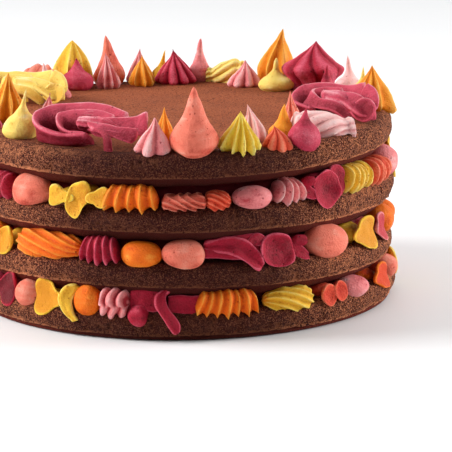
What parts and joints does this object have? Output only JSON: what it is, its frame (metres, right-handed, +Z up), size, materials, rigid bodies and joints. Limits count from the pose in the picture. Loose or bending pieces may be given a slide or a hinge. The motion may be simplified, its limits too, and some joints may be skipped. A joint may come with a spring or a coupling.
{
  "type": "layer cake",
  "caption": "Round naked chocolate sponge cake in stacked layers, with multicoloured piped buttercream between them and in a double ring of kisses, stars and ruffles on top.",
  "frame": {"origin": "centre of the flat underside of the bottom layer", "axes": "+Z up through the stack, -Y towards the front of the pictured side, +X to the right seen from the front"},
  "size_m": [0.2049, 0.2044, 0.1107],
  "materials": {
    "sponge": "porous chocolate sponge crumb, matt, with a smoother baked upper face",
    "filling_icing": "piped buttercream in several colours, satin, with fine air pits",
    "crimson_icing": "crimson buttercream, satin, slightly translucent, with fine air pits",
    "rose_icing": "rose buttercream, satin, slightly translucent, with fine air pits",
    "coral_icing": "coral buttercream, satin, slightly translucent, with fine air pits",
    "salmon_icing": "salmon buttercream, satin, slightly translucent, with fine air pits",
    "pink_icing": "pink buttercream, satin, slightly translucent, with fine air pits",
    "blush_icing": "blush buttercream, satin, slightly translucent, with fine air pits",
    "yellow_icing": "yellow buttercream, satin, slightly translucent, with fine air pits",
    "lemon_icing": "lemon buttercream, satin, slightly translucent, with fine air pits",
    "orange_icing": "orange buttercream, satin, slightly translucent, with fine air pits"
  },
  "bodies": {
    "root": {"sponge_1": "sponge", "sponge_2": "sponge", "sponge_3": "sponge", "sponge_4": "sponge", "filling_1": "filling_icing", "filling_2": "filling_icing", "filling_3": "filling_icing", "top_star_orange_1": "orange_icing", "top_kiss_yellow_2": "yellow_icing", "top_star_pink_3": "pink_icing", "top_star_pink_4": "pink_icing", "top_star_orange_5": "orange_icing", "top_kiss_salmon_6": "salmon_icing", "top_star_yellow_7": "yellow_icing", "top_star_blush_8": "blush_icing", "top_star_coral_9": "coral_icing", "top_kiss_orange_10": "orange_icing", "top_star_salmon_11": "salmon_icing", "top_kiss_rose_12": "rose_icing", "top_star_orange_13": "orange_icing", "top_kiss_lemon_14": "lemon_icing", "top_kiss_blush_15": "blush_icing", "top_kiss_rose_16": "rose_icing", "top_star_crimson_17": "crimson_icing", "top_kiss_lemon_18": "lemon_icing", "top_star_orange_19": "orange_icing", "top_star_pink_20": "pink_icing", "top_kiss_pink_21": "pink_icing", "top_star_crimson_22": "crimson_icing", "top_kiss_yellow_23": "yellow_icing", "top_star_orange_24": "orange_icing", "top_star_pink_25": "pink_icing", "top_kiss_salmon_26": "salmon_icing", "top_star_pink_27": "pink_icing", "top_kiss_rose_28": "rose_icing", "top_star_yellow_29": "yellow_icing", "top_kiss_blush_30": "blush_icing", "top_kiss_pink_31": "pink_icing", "top_star_crimson_32": "crimson_icing", "top_kiss_salmon_33": "salmon_icing", "top_star_pink_34": "pink_icing", "top_kiss_yellow_35": "yellow_icing", "top_star_rose_36": "rose_icing", "top_ruffle_crimson_37": "crimson_icing", "top_ruffle_crimson_38": "crimson_icing", "top_ruffle_lemon_39": "lemon_icing", "top_shell_blush_40": "blush_icing", "top_shell_lemon_41": "lemon_icing", "top_shell_salmon_42": "salmon_icing"}
  },
  "joints": []
}
